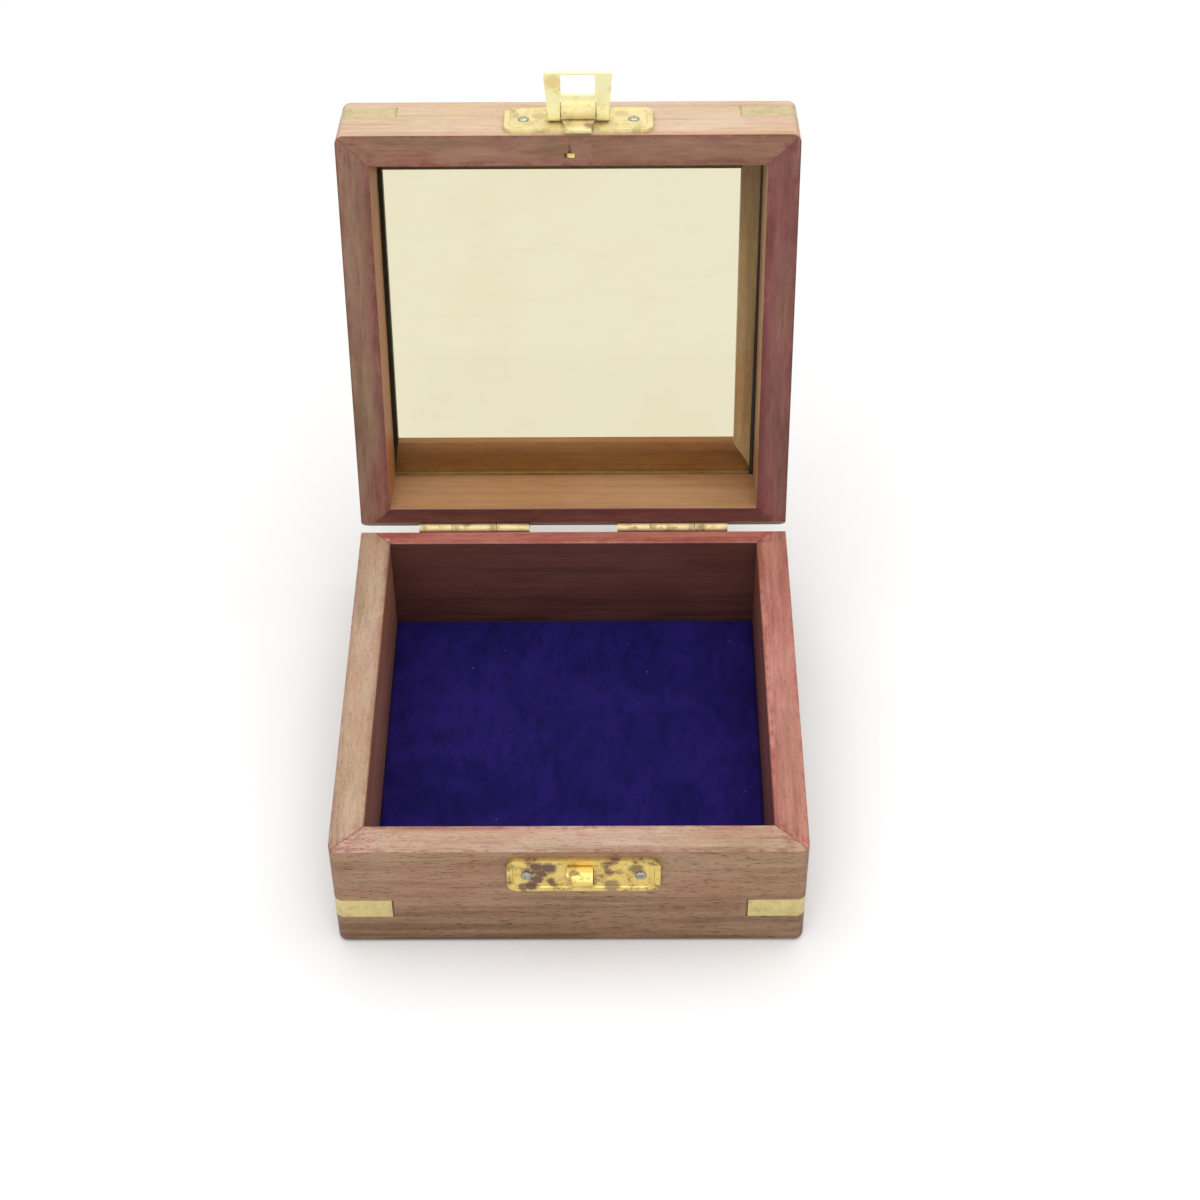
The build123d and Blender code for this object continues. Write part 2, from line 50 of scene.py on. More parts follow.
# Sizes of the frame that the looks follow, in millimetres, with the lid closed
HALF = 51.0  # half the width and depth of the box
INNER = 43.8  # half the width of the well and of the lid's recess
SEAM = 31.0  # height of the seam between base and lid
BEVEL, BEVEL_RISE = 3.4, 4.15  # depth and height of the bevels along the rear seam edges
PANE_DEPTH = 16.1  # from the seam to the pane
LIP_CORNER = (39.0, 35.6)  # where the right-hand and the rear lip meet inside
LINING_HALF = 43.75
LINING_BOTTOM, LINING_TOP = 4.0, 5.1
STRAP_LENGTH, STRAP_HEIGHT, STRAP_DEPTH = 12.5, 5.6, 0.8
STRAP_GAP = 0.5
BASE_STRAP, LID_STRAP = 8.9, SEAM + 10.6  # lower edges of the straps
OPEN_ANGLE = radians(-hinge["range_deg"][0])
HINGE_POINT = Vector(hinge["pos_m"])

# Camera, from the photograph's perspective
CAMERA_POINT = Vector((10.0, -373.4, 424.9)) * MM
CAMERA_PITCH = radians(44.72)
CAMERA_YAW = radians(-0.51)
CAMERA_ROLL = radians(-0.55)
CAMERA_LENS, CAMERA_SENSOR, CAMERA_NEAR = 72.02, 36.0, 0.01

# Light and floor, in metres and watts; the floor turns white where it is this far away
KEY_LAMP = {
    "point": (0.05, 0.10, 1.10), "target": (0.0, 0.02, 0.03), "width": 1.5, "power": 12.5,
}
FRONT_LAMP = {
    "point": (-0.1, -1.10, 0.75), "target": (0.0, 0.02, 0.06), "width": 1.4, "power": 7.0,
}
ROOM_LEVEL = 0.46
FLOOR_HALF, FLOOR_GREY = 6.0, 0.86
WHITE_FROM, WHITE_AT = 0.14, 0.55


def paint(red, green, blue):
    """A colour as it is seen on a screen, 0 to 255, as the linear colour that a shader takes."""
    linear = []
    for value in (red, green, blue):
        share = value / 255
        linear.append(share / 12.92 if share <= 0.04045 else ((share + 0.055) / 1.055) ** 2.4)
    return (*linear, 1.0)


class Shader:
    """A material, with short ways to add its nodes. What adds a node returns its output."""

    def __init__(self, name):
        self.material = bpy.data.materials.new(name)
        self.material.use_nodes = True
        self.tree = self.material.node_tree
        self.tree.nodes.clear()

    def node(self, kind, inputs=(), out=0, **settings):
        made = self.tree.nodes.new("ShaderNode" + kind)
        for key, value in settings.items():
            setattr(made, key, value)
        pairs = inputs.items() if isinstance(inputs, dict) else enumerate(inputs)
        for key, value in pairs:
            if isinstance(value, bpy.types.NodeSocket):
                self.tree.links.new(value, made.inputs[key])
            elif value is not None:
                made.inputs[key].default_value = value
        return made.outputs[out]

    def math(self, operation, *values):
        return self.node("Math", values, operation=operation)

    def add(self, a, b):
        return self.math("ADD", a, b)

    def sub(self, a, b):
        return self.math("SUBTRACT", a, b)

    def mul(self, a, b):
        return self.math("MULTIPLY", a, b)

    def most(self, a, b):
        return self.math("MAXIMUM", a, b)

    def least(self, a, b):
        return self.math("MINIMUM", a, b)

    def size(self, a):
        return self.math("ABSOLUTE", a)

    def without(self, a):
        """1 where the mask is 0, and the other way round."""
        return self.sub(1.0, a)

    def step(self, value, low, high, to_low=0.0, to_high=1.0):
        """Smooth step from to_low at value low to to_high at value high, also with low > high."""
        if low > high:
            low, high, to_low, to_high = high, low, to_high, to_low
        return self.node(
            "MapRange", (value, low, high, to_low, to_high), interpolation_type="SMOOTHSTEP"
        )

    def mix(self, share, a, b):
        return self.node("Mix", {0: share, 6: a, 7: b}, out=2, data_type="RGBA")

    def blend(self, mode, share, a, b):
        return self.node("Mix", {0: share, 6: a, 7: b}, out=2, data_type="RGBA", blend_type=mode)

    def scale(self, vector, factors):
        return self.node("VectorMath", (vector, factors), operation="MULTIPLY")

    def shift(self, vector, offset):
        return self.node("VectorMath", (vector, offset), operation="ADD")

    def distance(self, vector, point):
        return self.node("VectorMath", (vector, point), out=1, operation="DISTANCE")

    def noise(self, vector, scale=1.0, detail=3.0, roughness=0.5, distortion=0.0):
        inputs = {
            "Vector": vector,
            "Scale": scale,
            "Detail": detail,
            "Roughness": roughness,
            "Distortion": distortion,
        }
        return self.node("TexNoise", inputs)

    def cells(self, vector, scale):
        return self.node("TexVoronoi", {"Vector": vector, "Scale": scale})

    def place(self, body):
        """Position in millimetres, in the frame of the closed box, for a piece on that body."""
        position = self.node("TexCoord", out="Object")
        if body == "lid":
            inputs = {"Vector": position, "Center": HINGE_POINT, "Angle": OPEN_ANGLE}
            position = self.node("VectorRotate", inputs, rotation_type="X_AXIS")
        return self.scale(position, (1 / MM, 1 / MM, 1 / MM))

    def split(self, vector):
        made = self.tree.nodes.new("ShaderNodeSeparateXYZ")
        self.tree.links.new(vector, made.inputs[0])
        return made.outputs[0], made.outputs[1], made.outputs[2]

    def edges(self, radius):
        """1 on edges and in corners, from how far a bevel of that radius turns the surface."""
        bevel = self.node("Bevel", {"Radius": radius * MM}, samples=4)
        flat = self.node("NewGeometry", out="Normal")
        dot = self.node("VectorMath", (bevel, flat), out=1, operation="DOT_PRODUCT")
        return self.step(self.without(dot), 0.02, 0.35)

    def crevice(self, distance):
        """1 in corners and beside raised pieces, 0 in the open."""
        inputs = {"Distance": distance * MM}
        shade = self.node("AmbientOcclusion", inputs, out="AO", samples=6)
        return self.without(shade)

    def bump(self, height, strength, distance, normal=None):
        inputs = {"Strength": strength, "Distance": distance * MM, "Height": height}
        if normal is not None:
            inputs["Normal"] = normal
        return self.node("Bump", inputs)

    def surface(self, **inputs):
        named = {key.replace("_", " "): value for key, value in inputs.items()}
        return self.output(self.node("BsdfPrincipled", named))

    def output(self, shader):
        """Ends the tree with that shader, and returns the finished material."""
        made = self.tree.nodes.new("ShaderNodeOutputMaterial")
        self.tree.links.new(shader, made.inputs[0])
        return self.material


# Wood: one board each, its grain along it, with its own colour on each kind of face
class Board(Shader):
    """The shader of one board, with the masks of its faces and the patterns of its grain."""

    def __init__(self, name, body, along, seed):
        super().__init__(name)
        self.along = along
        self.here = self.place(body)
        self.seeded = self.shift(self.here, (seed * 31.7, seed * 17.3, seed * 53.1))
        # Distances from the box's middle, from the seam and from the mitres' diagonals
        self.x, self.y, z = self.split(self.here)
        self.reach = self.most(self.size(self.x), self.size(self.y))
        self.level = self.size(self.sub(z, SEAM))
        self.mitre = self.size(self.sub(self.size(self.x), self.size(self.y)))
        # Masks of the faces
        self.on_rim = self.step(self.level, 0.28, 0.12)
        self.is_inside = self.step(self.reach, INNER + 0.12, INNER + 0.02)
        self.rim_face = self.mul(self.on_rim, self.without(self.is_inside))
        # Patterns that more than one layer of colour uses
        self.tinge = self.noise(self.grain(24.0, 6.0), detail=4.0, roughness=0.6, distortion=0.2)
        self.figure = self.noise(self.grain(60.0, 2.2), detail=4.0, roughness=0.62, distortion=0.6)
        self.fibre = self.noise(self.grain(6.0, 0.26), detail=3.0, roughness=0.65)
        self.pore = self.step(
            self.noise(self.grain(1.8, 0.21), detail=1.0, roughness=0.4), 0.60, 0.71
        )
        self.nap = self.noise(self.seeded, scale=1.6, detail=4.0, roughness=0.7)
        self.blotch = self.noise(self.seeded, scale=0.42, detail=3.0, roughness=0.6)

    def grain(self, length, width):
        """Coordinates for a noise whose features are that long and wide, in millimetres."""
        factors = [1 / width] * 3
        factors[self.along] = 1 / length
        return self.scale(self.seeded, tuple(factors))

    def multiply(self, share, colour, tint):
        return self.blend("MULTIPLY", share, colour, paint(*tint))


def wall_inside(s, inside):
    """Inside of a base board, a little paler towards its rim."""
    near_rim = s.step(s.level, 0.0, 26.0, 0.12, 0.0)
    return s.blend("SCREEN", near_rim, paint(*inside), paint(110, 60, 50))


def rail_inside(s, inside, lip):
    """Inside of a lid rail: its reveal and, beyond the pane, its lip with a splintered mitre."""
    side, back = LIP_CORNER
    diagonal = hypot(INNER - side, INNER - back)
    across = s.mul(s.sub(s.size(s.x), INNER), (INNER - back) / diagonal)
    across = s.sub(across, s.mul(s.sub(s.y, INNER), (INNER - side) / diagonal))
    splinter = s.mul(s.step(s.size(across), 0.20, 0.06), s.step(s.x, 0.0, 1.0))
    splinter = s.mul(splinter, s.step(s.noise(s.seeded, scale=0.9, detail=2.0), 0.28, 0.45))
    lip_colour = s.mix(splinter, paint(*lip), paint(226, 204, 160))
    beyond_pane = s.step(s.level, PANE_DEPTH + 0.2, PANE_DEPTH + 1.4)
    return s.mix(beyond_pane, paint(*inside), lip_colour)


def growth(s, colour, porous, patchy, foot):
    """Dark and light growth, olive and ruddy patches, fibres, pores, smudges, a darker foot partly
    of painted shade.
    """
    cloud = s.noise(s.grain(38.0, 11.0), detail=2.0, roughness=0.6)
    smudge = s.noise(s.grain(13.0, 2.0), detail=5.0, roughness=0.7, distortion=0.1)
    dark_figure = s.step(s.figure, 0.42, 0.72, 0.0, 0.35 + 0.4 * porous)
    colour = s.multiply(dark_figure, colour, (206, 190, 182))
    clouded = s.step(cloud, 0.35, 0.65, 0.0, 0.45)
    colour = s.blend("SOFT_LIGHT", clouded, colour, paint(150, 140, 112))

    patches = s.step(s.on_rim, 0.0, 1.0, 0.25, patchy)
    olive = s.mul(patches, s.step(s.tinge, 0.50, 0.66))
    ruddy = s.mul(patches, s.step(s.tinge, 0.52, 0.36))
    colour = s.multiply(olive, colour, (226, 236, 212))
    colour = s.multiply(ruddy, colour, (236, 196, 204))
    colour = s.multiply(s.step(s.fibre, 0.45, 0.75, 0.0, 0.6), colour, (214, 200, 190))

    shown = s.step(s.on_rim, 0.0, 1.0, porous, 0.4 * porous)
    shown = s.mul(shown, s.step(s.is_inside, 0.0, 1.0, 1.0, 0.3))
    colour = s.multiply(s.mul(s.pore, shown), colour, (160, 126, 106))

    handled = s.step(s.on_rim, 0.0, 1.0, 0.2, patchy)
    colour = s.multiply(s.mul(s.step(smudge, 0.48, 0.68), handled), colour, (204, 184, 180))
    cleaned = s.mul(s.step(smudge, 0.46, 0.30), handled)
    colour = s.blend("SCREEN", s.mul(cleaned, 0.16), colour, paint(190, 150, 110))
    # The foot is darker: partly darker wood, partly painted shade near the floor
    if foot:
        low = s.step(s.level, 12.0, 30.0, 0.0, foot)
        low = s.mul(low, s.step(s.figure, 0.40, 0.62, 0.7, 1.3))
        colour = s.multiply(low, colour, (176, 158, 140))
    return colour


def red_stain(s, colour, stain, flecks):
    """Red stain that crept out of the mitres and along the rims' edges, with red flecks."""
    run = s.noise(s.grain(3.4, 0.6), detail=2.0, roughness=0.5)
    wet = s.step(s.add(s.blotch, s.mul(run, 0.6)), 0.72, 0.96)
    near_mitre = s.step(s.mitre, 5.0, 0.4)
    near_inner = s.step(s.sub(s.reach, INNER), 2.2, 0.2)
    near_outer = s.step(s.sub(HALF, s.reach), 1.2, 0.1)
    beside = s.most(near_mitre, s.most(near_inner, s.mul(near_outer, 0.8)))
    broken = s.step(s.noise(s.seeded, scale=0.05, detail=1.0), 0.42, 0.58, 0.0, 0.7)
    red = s.most(s.mul(wet, beside), s.mul(near_inner, broken))
    red = s.mul(red, s.mul(s.rim_face, stain))
    fleck = s.step(s.noise(s.grain(1.0, 0.36), detail=2.0, roughness=0.5), 0.55, 0.64)
    fleck = s.mul(fleck, s.step(s.x, -28.0, -47.0, 0.3 * flecks, flecks))
    red = s.most(red, s.mul(fleck, s.rim_face))
    return s.mix(red, colour, s.multiply(0.85, colour, (206, 112, 122)))


def marked(s, colour, marks):
    """Single marks, each with its place, radius, colour and strength."""
    for point, radius, spot, share in marks:
        away = s.distance(s.here, point)
        away = s.add(away, s.mul(s.sub(s.nap, 0.5), radius * 2.4))
        colour = s.mix(s.step(away, radius, radius * 0.5, 0.0, share), colour, paint(*spot))
    return colour


def lid_edges(s, colour, bleed, edge_shade):
    """Stain outside above the seam, a purple band by the recess, painted shade on arris and bevel.
    """
    near_seam = s.mul(s.step(s.level, 3.6, 0.4), s.without(s.is_inside))
    near_seam = s.mul(near_seam, s.without(s.on_rim))
    colour = s.multiply(s.mul(near_seam, 0.8), colour, (250, 214, 200))
    if bleed:
        beside = s.add(s.sub(s.reach, INNER), s.mul(s.sub(s.tinge, 0.5), 6.0))
        purple = s.mul(s.mul(s.step(beside, 4.2, 1.2), s.rim_face), bleed)
        colour = s.multiply(purple, colour, (240, 186, 214))
    # Painted shade on the rear bevel and along the outer arris at the seam
    bevel_start = HALF - BEVEL
    bevel_level = s.mul(s.sub(s.y, bevel_start), BEVEL_RISE / BEVEL)
    bevel = s.step(s.size(s.sub(bevel_level, s.level)), 0.4, 0.1)
    bevel = s.mul(bevel, s.step(s.y, bevel_start, bevel_start + 0.3))
    arris = s.mul(s.step(s.sub(HALF, s.reach), 0.5, 0.08), s.on_rim)
    return s.multiply(s.mul(s.most(arris, bevel), edge_shade), colour, (120, 104, 92))


def wear(s, colour, glue_line):
    """The dark glue line of the mitre, pale worn edges, and painted shade in the corners."""
    reddened = s.multiply(1.0, colour, (188, 106, 110))
    colour = s.mix(s.mul(glue_line, 0.7), colour, reddened)
    worn = s.mul(s.edges(0.7), s.step(s.nap, 0.38, 0.62))
    colour = s.blend("SCREEN", s.mul(worn, 0.12), colour, paint(236, 190, 160))
    # Painted shade: darker in corners and beside raised pieces, by uneven amounts
    corner_shade = s.mul(s.crevice(2.0), s.step(s.blotch, 0.3, 0.7, 0.35, 0.9))
    return s.multiply(s.mul(corner_shade, 0.45), colour, (120, 84, 74))


def wood(
    name, body, along, outside, rim, inside,
    lip=None, seed=0, stain=0.5, foot=0.0, porous=0.2, patchy=0.4, flecks=0.0, bleed=0.0,
    edge_shade=0.0, marks=(),
):
    """outside, rim, inside and lip are colours, lip only for rails. stain to edge_shade are
    strengths.
    """
    s = Board(name, body, along, seed)
    colour = s.mix(s.on_rim, paint(*outside), paint(*rim))
    within = rail_inside(s, inside, lip) if lip else wall_inside(s, inside)
    colour = s.mix(s.is_inside, colour, within)
    colour = growth(s, colour, porous, patchy, foot)
    colour = red_stain(s, colour, stain, flecks)
    colour = marked(s, colour, marks)
    if lip:
        colour = lid_edges(s, colour, bleed, edge_shade)
    glue_line = s.mul(s.step(s.mitre, 0.42, 0.10), s.without(s.is_inside))
    broken = s.step(s.noise(s.seeded, scale=0.8, detail=2.0), 0.36, 0.56, 0.3, 1.0)
    glue_line = s.mul(glue_line, broken)
    colour = wear(s, colour, glue_line)

    height = s.add(s.mul(s.fibre, 0.35), s.mul(s.pore, -0.8))
    height = s.add(height, s.mul(s.nap, 0.3))
    normal = s.bump(height, 0.4, 0.05)
    normal = s.bump(s.mul(glue_line, -1.0), 0.5, 0.08, normal)
    rough = s.add(s.add(0.44, s.mul(s.nap, 0.16)), s.mul(s.pore, 0.1))
    return s.surface(Base_Color=colour, Roughness=rough, Normal=normal, IOR=1.45)


# Brass sheet: bright where it is rubbed, brown where it isn't, and browned with painted shade on
# given spots and on a hinge's barrel
def brass(
    name, body, bright, dull, tarnish_and_shade, amount, rough, dents, seed,
    spots=(), metal=1.0, hollow=0.35, shaded_barrel=None,
):
    """spots are brown patches with radius and strength, most patina, some painted shade;
    shaded_barrel is a roll's y and z.
    """
    s = Shader(name)
    place = s.place(body)
    seeded = s.shift(place, (seed * 23.1, seed * 41.9, seed * 11.3))
    broad = s.noise(seeded, scale=0.28, detail=4.0, roughness=0.62)
    fine = s.noise(seeded, scale=1.7, detail=4.0, roughness=0.6)
    hammer = s.noise(seeded, scale=0.9, detail=2.0, roughness=0.5)
    brushed = s.noise(s.scale(seeded, (0.25, 6.0, 6.0)), detail=2.0)
    rubbed = s.edges(0.35)
    shade = s.crevice(1.1)

    cloudy = s.add(s.mul(fine, 0.5), s.mul(broad, 0.5))
    colour = s.mix(s.step(cloudy, 0.38, 0.62), paint(*bright), paint(*dull))
    patch = s.step(s.add(broad, s.mul(fine, 0.12)), 0.56, 0.76)
    patch = s.mul(patch, s.without(s.mul(rubbed, 0.8)))
    for point, radius, share in spots:
        away = s.distance(place, point)
        away = s.add(away, s.mul(s.sub(hammer, 0.5), 1.6))
        away = s.add(away, s.mul(s.sub(fine, 0.5), 0.5))
        patch = s.most(patch, s.step(away, radius, radius * 0.45, 0.0, share))
    # Painted shade on a hinge: all but a band along the barrel's middle takes the brown colour
    if shaded_barrel:
        _, y, z = s.split(place)
        from_middle = s.size(s.add(s.sub(y, shaded_barrel[0]), s.sub(z, shaded_barrel[1])))
        patch = s.most(patch, s.step(from_middle, 1.0, 1.6))
    patch = s.least(1.0, s.add(s.mul(patch, amount), s.mul(shade, hollow)))
    colour = s.mix(patch, colour, paint(*tarnish_and_shade))
    scratch = s.step(brushed, 0.66, 0.72)
    colour = s.blend("SCREEN", s.mul(scratch, 0.10), colour, paint(255, 240, 190))

    rougher = s.add(rough, s.mul(patch, 0.22))
    rougher = s.add(rougher, s.mul(fine, 0.04))
    normal = s.bump(hammer, dents, 0.12)
    normal = s.bump(s.add(brushed, fine), 0.12, 0.01, normal)
    metallic = s.mul(metal, s.without(s.mul(patch, 0.6)))
    return s.surface(Base_Color=colour, Metallic=metallic, Roughness=rougher, Normal=normal)


# Steel of the nails: dull, with painted shade round the heads
def steel(name, body, bright, dark, seed):
    s = Shader(name)
    seeded = s.shift(s.place(body), (seed, seed * 3.0, seed * 5.0))
    fine = s.noise(seeded, scale=2.2, detail=4.0, roughness=0.65)
    colour = s.mix(s.step(fine, 0.38, 0.66), paint(*bright), paint(*dark))
    # Painted shade round the heads, darker where the surface is closed in
    colour = s.blend("MULTIPLY", s.mul(s.crevice(0.6), 0.9), colour, paint(50, 40, 36))
    rough = s.add(0.4, s.mul(fine, 0.2))
    normal = s.bump(fine, 0.4, 0.04)
    return s.surface(Base_Color=colour, Metallic=1.0, Roughness=rough, Normal=normal)


# Velvet: a short pile that lies in drifts, with lint on it
def velvet(name):
    s = Shader(name)
    place = s.place("base")
    drift = s.noise(place, scale=0.05, detail=3.0, roughness=0.55, distortion=1.2)
    brushed = s.noise(s.scale(place, (0.5, 0.16, 0.5)), detail=3.0, roughness=0.6)
    pile = s.noise(place, scale=5.0, detail=2.0, roughness=0.7)
    lint = s.step(s.cells(place, scale=0.23), 0.075, 0.03)
    lint = s.mul(lint, s.step(s.noise(place, scale=0.9), 0.52, 0.6))
    colour = s.mix(s.step(drift, 0.35, 0.65), paint(22, 12, 78), paint(32, 20, 94))
    lying = s.step(brushed, 0.45, 0.7, 0.0, 0.5)
    colour = s.blend("MULTIPLY", lying, colour, paint(150, 150, 190))
    deep = s.step(pile, 0.5, 0.7, 0.0, 0.6)
    colour = s.blend("MULTIPLY", deep, colour, paint(150, 146, 190))
    colour = s.mix(s.mul(lint, 0.35), colour, paint(120, 116, 160))
    height = s.add(s.mul(pile, 0.7), s.mul(brushed, 0.6))
    return s.surface(
        Base_Color=colour,
        Roughness=0.95,
        Specular_IOR_Level=0.15,
        Sheen_Weight=0.3,
        Sheen_Roughness=0.4,
        Sheen_Tint=paint(96, 84, 170),
        Normal=s.bump(height, 0.6, 0.15),
    )


# Straw-tinted clear glass; light for the surfaces behind it passes straight through
def glass(name):
    s = Shader(name)
    place = s.place("lid")
    haze = s.noise(place, scale=0.035, detail=3.0, roughness=0.55)
    smear = s.noise(s.scale(place, (0.08, 0.35, 0.2)), detail=4.0, roughness=0.6)
    tint = s.mix(s.step(haze, 0.35, 0.65), paint(236, 230, 201), paint(235, 227, 194))
    smeared = s.step(smear, 0.55, 0.75, 0.0, 0.25)
    tint = s.blend("MULTIPLY", smeared, tint, paint(243, 240, 226))
    pane = s.node("BsdfPrincipled", {
        "Base Color": tint,
        "Roughness": 0.02,
        "IOR": 1.2,
        "Transmission Weight": 1.0,
    })
    clear = s.node("BsdfTransparent", {"Color": tint})
    shadow = s.node("LightPath", out="Is Shadow Ray")
    return s.output(s.node("MixShader", (shadow, pane, clear)))


# Putty and filler, and the dark strip of painted shadow: matt, with a fine unevenness
def filler_and_shadow(name, body, light, dark):
    s = Shader(name)
    fine = s.noise(s.place(body), scale=2.4, detail=4.0, roughness=0.65)
    colour = s.mix(s.step(fine, 0.35, 0.68), paint(*light), paint(*dark))
    rough = s.add(0.6, s.mul(fine, 0.2))
    return s.surface(Base_Color=colour, Roughness=rough, Normal=s.bump(fine, 0.5, 0.08))


def dress(node, material):
    """Gives a CAD node that material on all its faces."""
    mesh = nodes[node].data
    mesh.materials.clear()
    mesh.materials.append(material)
    for face in mesh.polygons:
        face.material_index = 0


# Boards of the base, with the colours that the photograph shows in this light
WALL_OUTSIDE = (161, 128, 100)
FLOOR_BOARD = (150, 112, 92)
CORNER_CHIP = [((-44.9, 44.7, SEAM), 1.1, (196, 164, 138), 0.8)]
WALLS = {
    "front": {
        "along": 0, "rim": (188, 160, 137), "inside": (102, 63, 54),
        "stain": 0.9, "patchy": 0.4, "flecks": 0.9,
    },
    "back": {
        "along": 0, "rim": (186, 118, 109), "inside": (102, 63, 54),
        "stain": 0.5, "patchy": 0.6, "marks": CORNER_CHIP,
    },
    "left": {
        "along": 1, "rim": (182, 157, 132), "inside": (176, 122, 98),
        "stain": 0.5, "patchy": 0.3, "flecks": 0.18,
    },
    "right": {
        "along": 1, "rim": (184, 127, 114), "inside": (140, 88, 72),
        "stain": 0.8, "patchy": 0.5, "flecks": 0.3,
    },
}
for seed, (side, looks) in enumerate(WALLS.items(), 1):
    name = f"wood_base_{side}"
    board = wood(name, "base", outside=WALL_OUTSIDE, seed=seed, foot=0.63, porous=0.85, **looks)
    dress(f"base_{side}_wall", board)
bottom = wood(
    "wood_base_bottom", "base", along=0, outside=FLOOR_BOARD, rim=FLOOR_BOARD, inside=FLOOR_BOARD,
    stain=0.0, seed=5,
)
dress("base_bottom_board", bottom)

# Rails of the lid, in the colours they show in this light; the outside is painted paler, a painted
# light for the lamp that the open lid faces
RAIL_OUTSIDE = (216, 191, 164)
REVEAL, LEFT_REVEAL = (184, 142, 104), (190, 128, 82)
TORN_WOOD = [
    ((-0.4, -49.6, SEAM), 0.85, (166, 78, 76), 0.6),
    ((2.6, -47.4, SEAM), 3.4, (158, 112, 102), 0.3),
]
# Each lip carries painted light and shade as it shows behind the tinted pane: the left lip near
# black with painted shade, the right lip paler with painted light, the front and rear lips browner
# than their rails with painted shade
RAILS = {
    "front": {
        "along": 0, "rim": (148, 110, 88), "inside": REVEAL, "lip": (120, 88, 64),
        "bleed": 0.15, "marks": TORN_WOOD,
    },
    # The rear rail's rim is partly its own dark red and partly painted shade
    "back": {"along": 0, "rim": (109, 59, 52), "inside": REVEAL, "lip": (166, 120, 86)},
    "left": {
        "along": 1, "rim": (143, 110, 90), "inside": LEFT_REVEAL, "lip": (44, 38, 28),
        "bleed": 0.6,
    },
    "right": {
        "along": 1, "rim": (134, 87, 80), "inside": REVEAL, "lip": (212, 186, 158),
        "bleed": 0.4,
    },
}
for seed, (side, looks) in enumerate(RAILS.items(), 6):
    name = f"wood_lid_{side}"
    rail = wood(
        name, "lid", outside=RAIL_OUTSIDE, seed=seed, stain=0.7, patchy=0.6, edge_shade=0.7, **looks
    )
    dress(f"lid_{side}_rail", rail)

# Tarnish on the metal, and a few spots of painted shade on the hasp: place, radius and strength of
# each spot
PLATE_FACE = -HALF - 1.0  # y of the stamped plates, at the top of their bead
HASP_X = 2.3
HINGE_X, BESIDE_JOINT = 23.8, 4.4
CATCH_SPOTS = [
    ((-6.9, PLATE_FACE, 26.8), 2.2, 1.0),
    ((-4.4, PLATE_FACE, 26.5), 2.6, 1.0),
    ((-5.9, PLATE_FACE, 24.6), 2.1, 1.0),
    ((-6.9, PLATE_FACE, 22.8), 1.9, 1.0),
    ((-8.2, PLATE_FACE, 20.8), 2.1, 1.0),
    ((-9.8, PLATE_FACE, 20.2), 1.6, 0.9),
    ((-12.2, PLATE_FACE, 27.4), 1.3, 0.5),
    ((14.2, PLATE_FACE, 26.0), 2.2, 0.8),
    ((9.0, PLATE_FACE, 20.6), 2.4, 0.7),
]
HASP_SPOTS = [
    ((-8.6, PLATE_FACE, 36.0), 1.9, 0.6),
    ((-6.4, PLATE_FACE, 40.3), 2.2, 0.7),
    ((11.8, PLATE_FACE, 41.3), 2.2, 0.6),
    ((15.2, PLATE_FACE, 36.4), 1.7, 0.4),
    # Painted shade in the slot at the right-hand side of the hasp's bridge
    ((4.8, -52.6, 32.4), 1.7, 2.0),
    # Painted shade on the top of the hasp's knuckle, three spots across it
    *(((HASP_X + aside, -56.2, 39.0), 2.0, 0.7) for aside in (-2.0, 0.0, 2.0)),
]
FLAP_SPOTS = [
    ((-3.0, -63.1, 31.3), 2.6, 1.0),
    ((6.6, -58.0, 33.4), 1.6, 0.4),
    *(((HASP_X + aside, -58.0, 34.8), 2.0, 0.6) for aside in (-1.8, 0.0, 1.8)),
]
HINGE_SPOTS = [
    ((side * HINGE_X + aside, 48.6, 31.6), 1.1, 0.6)
    for side in (-1, 1) for aside in (-BESIDE_JOINT, BESIDE_JOINT)
]

# Metal
straps_base = brass(
    "brass_strap_base", "base", (214, 198, 140), (200, 184, 128), (150, 124, 84),
    amount=0.3, rough=0.42, dents=0.1, seed=1.0,
)
straps_lid = brass(
    "brass_strap_lid", "lid", (213, 197, 153), (199, 183, 138), (156, 132, 92),
    amount=0.3, rough=0.42, dents=0.1, seed=2.0,
)
catch_brass = brass(
    "brass_catch", "base", (226, 200, 120), (208, 180, 98), (100, 68, 60),
    amount=0.95, rough=0.34, dents=0.5, seed=3.4, spots=CATCH_SPOTS, metal=0.8, hollow=0.2,
)
hasp_brass = brass(
    "brass_hasp", "lid", (228, 212, 156), (214, 198, 140), (160, 134, 100),
    amount=0.6, rough=0.55, dents=0.06, seed=4.6, spots=HASP_SPOTS, metal=0.35, hollow=0.4,
)
# The flap's brass is painted much paler and less metallic than the plate's: painted light for the
# glare it catches
flap_brass = brass(
    "brass_flap", "lid", (255, 250, 196), (254, 246, 184), (226, 184, 108),
    amount=0.6, rough=0.45, dents=0.06, seed=5.0, spots=FLAP_SPOTS, metal=0.15, hollow=0.5,
)
# The hinges take painted shade on the sides of their barrels through shaded_barrel
hinge_brass = brass(
    "brass_hinge", "base", (212, 188, 142), (194, 170, 122), (84, 74, 58),
    amount=0.6, rough=0.5, dents=0.06, seed=6.0, spots=HINGE_SPOTS, metal=0.7, hollow=0.6,
    shaded_barrel=(HINGE_POINT.y / MM, SEAM),
)
pin_brass = brass(
    "brass_pin", "lid", (226, 206, 130), (190, 168, 100), (98, 78, 56),
    amount=0.8, rough=0.3, dents=0.3, seed=8.0,
)
brad_brass = brass(
    "brass_brad", "lid", (240, 216, 140), (214, 190, 108), (90, 70, 50),
    amount=0.4, rough=0.4, dents=0.3, seed=9.0,
)
nail_base = steel("steel_nail_base", "base", (172, 168, 156), (118, 114, 104), 1.0)
nail_lid = steel("steel_nail_lid", "lid", (176, 176, 158), (140, 138, 120), 2.0)

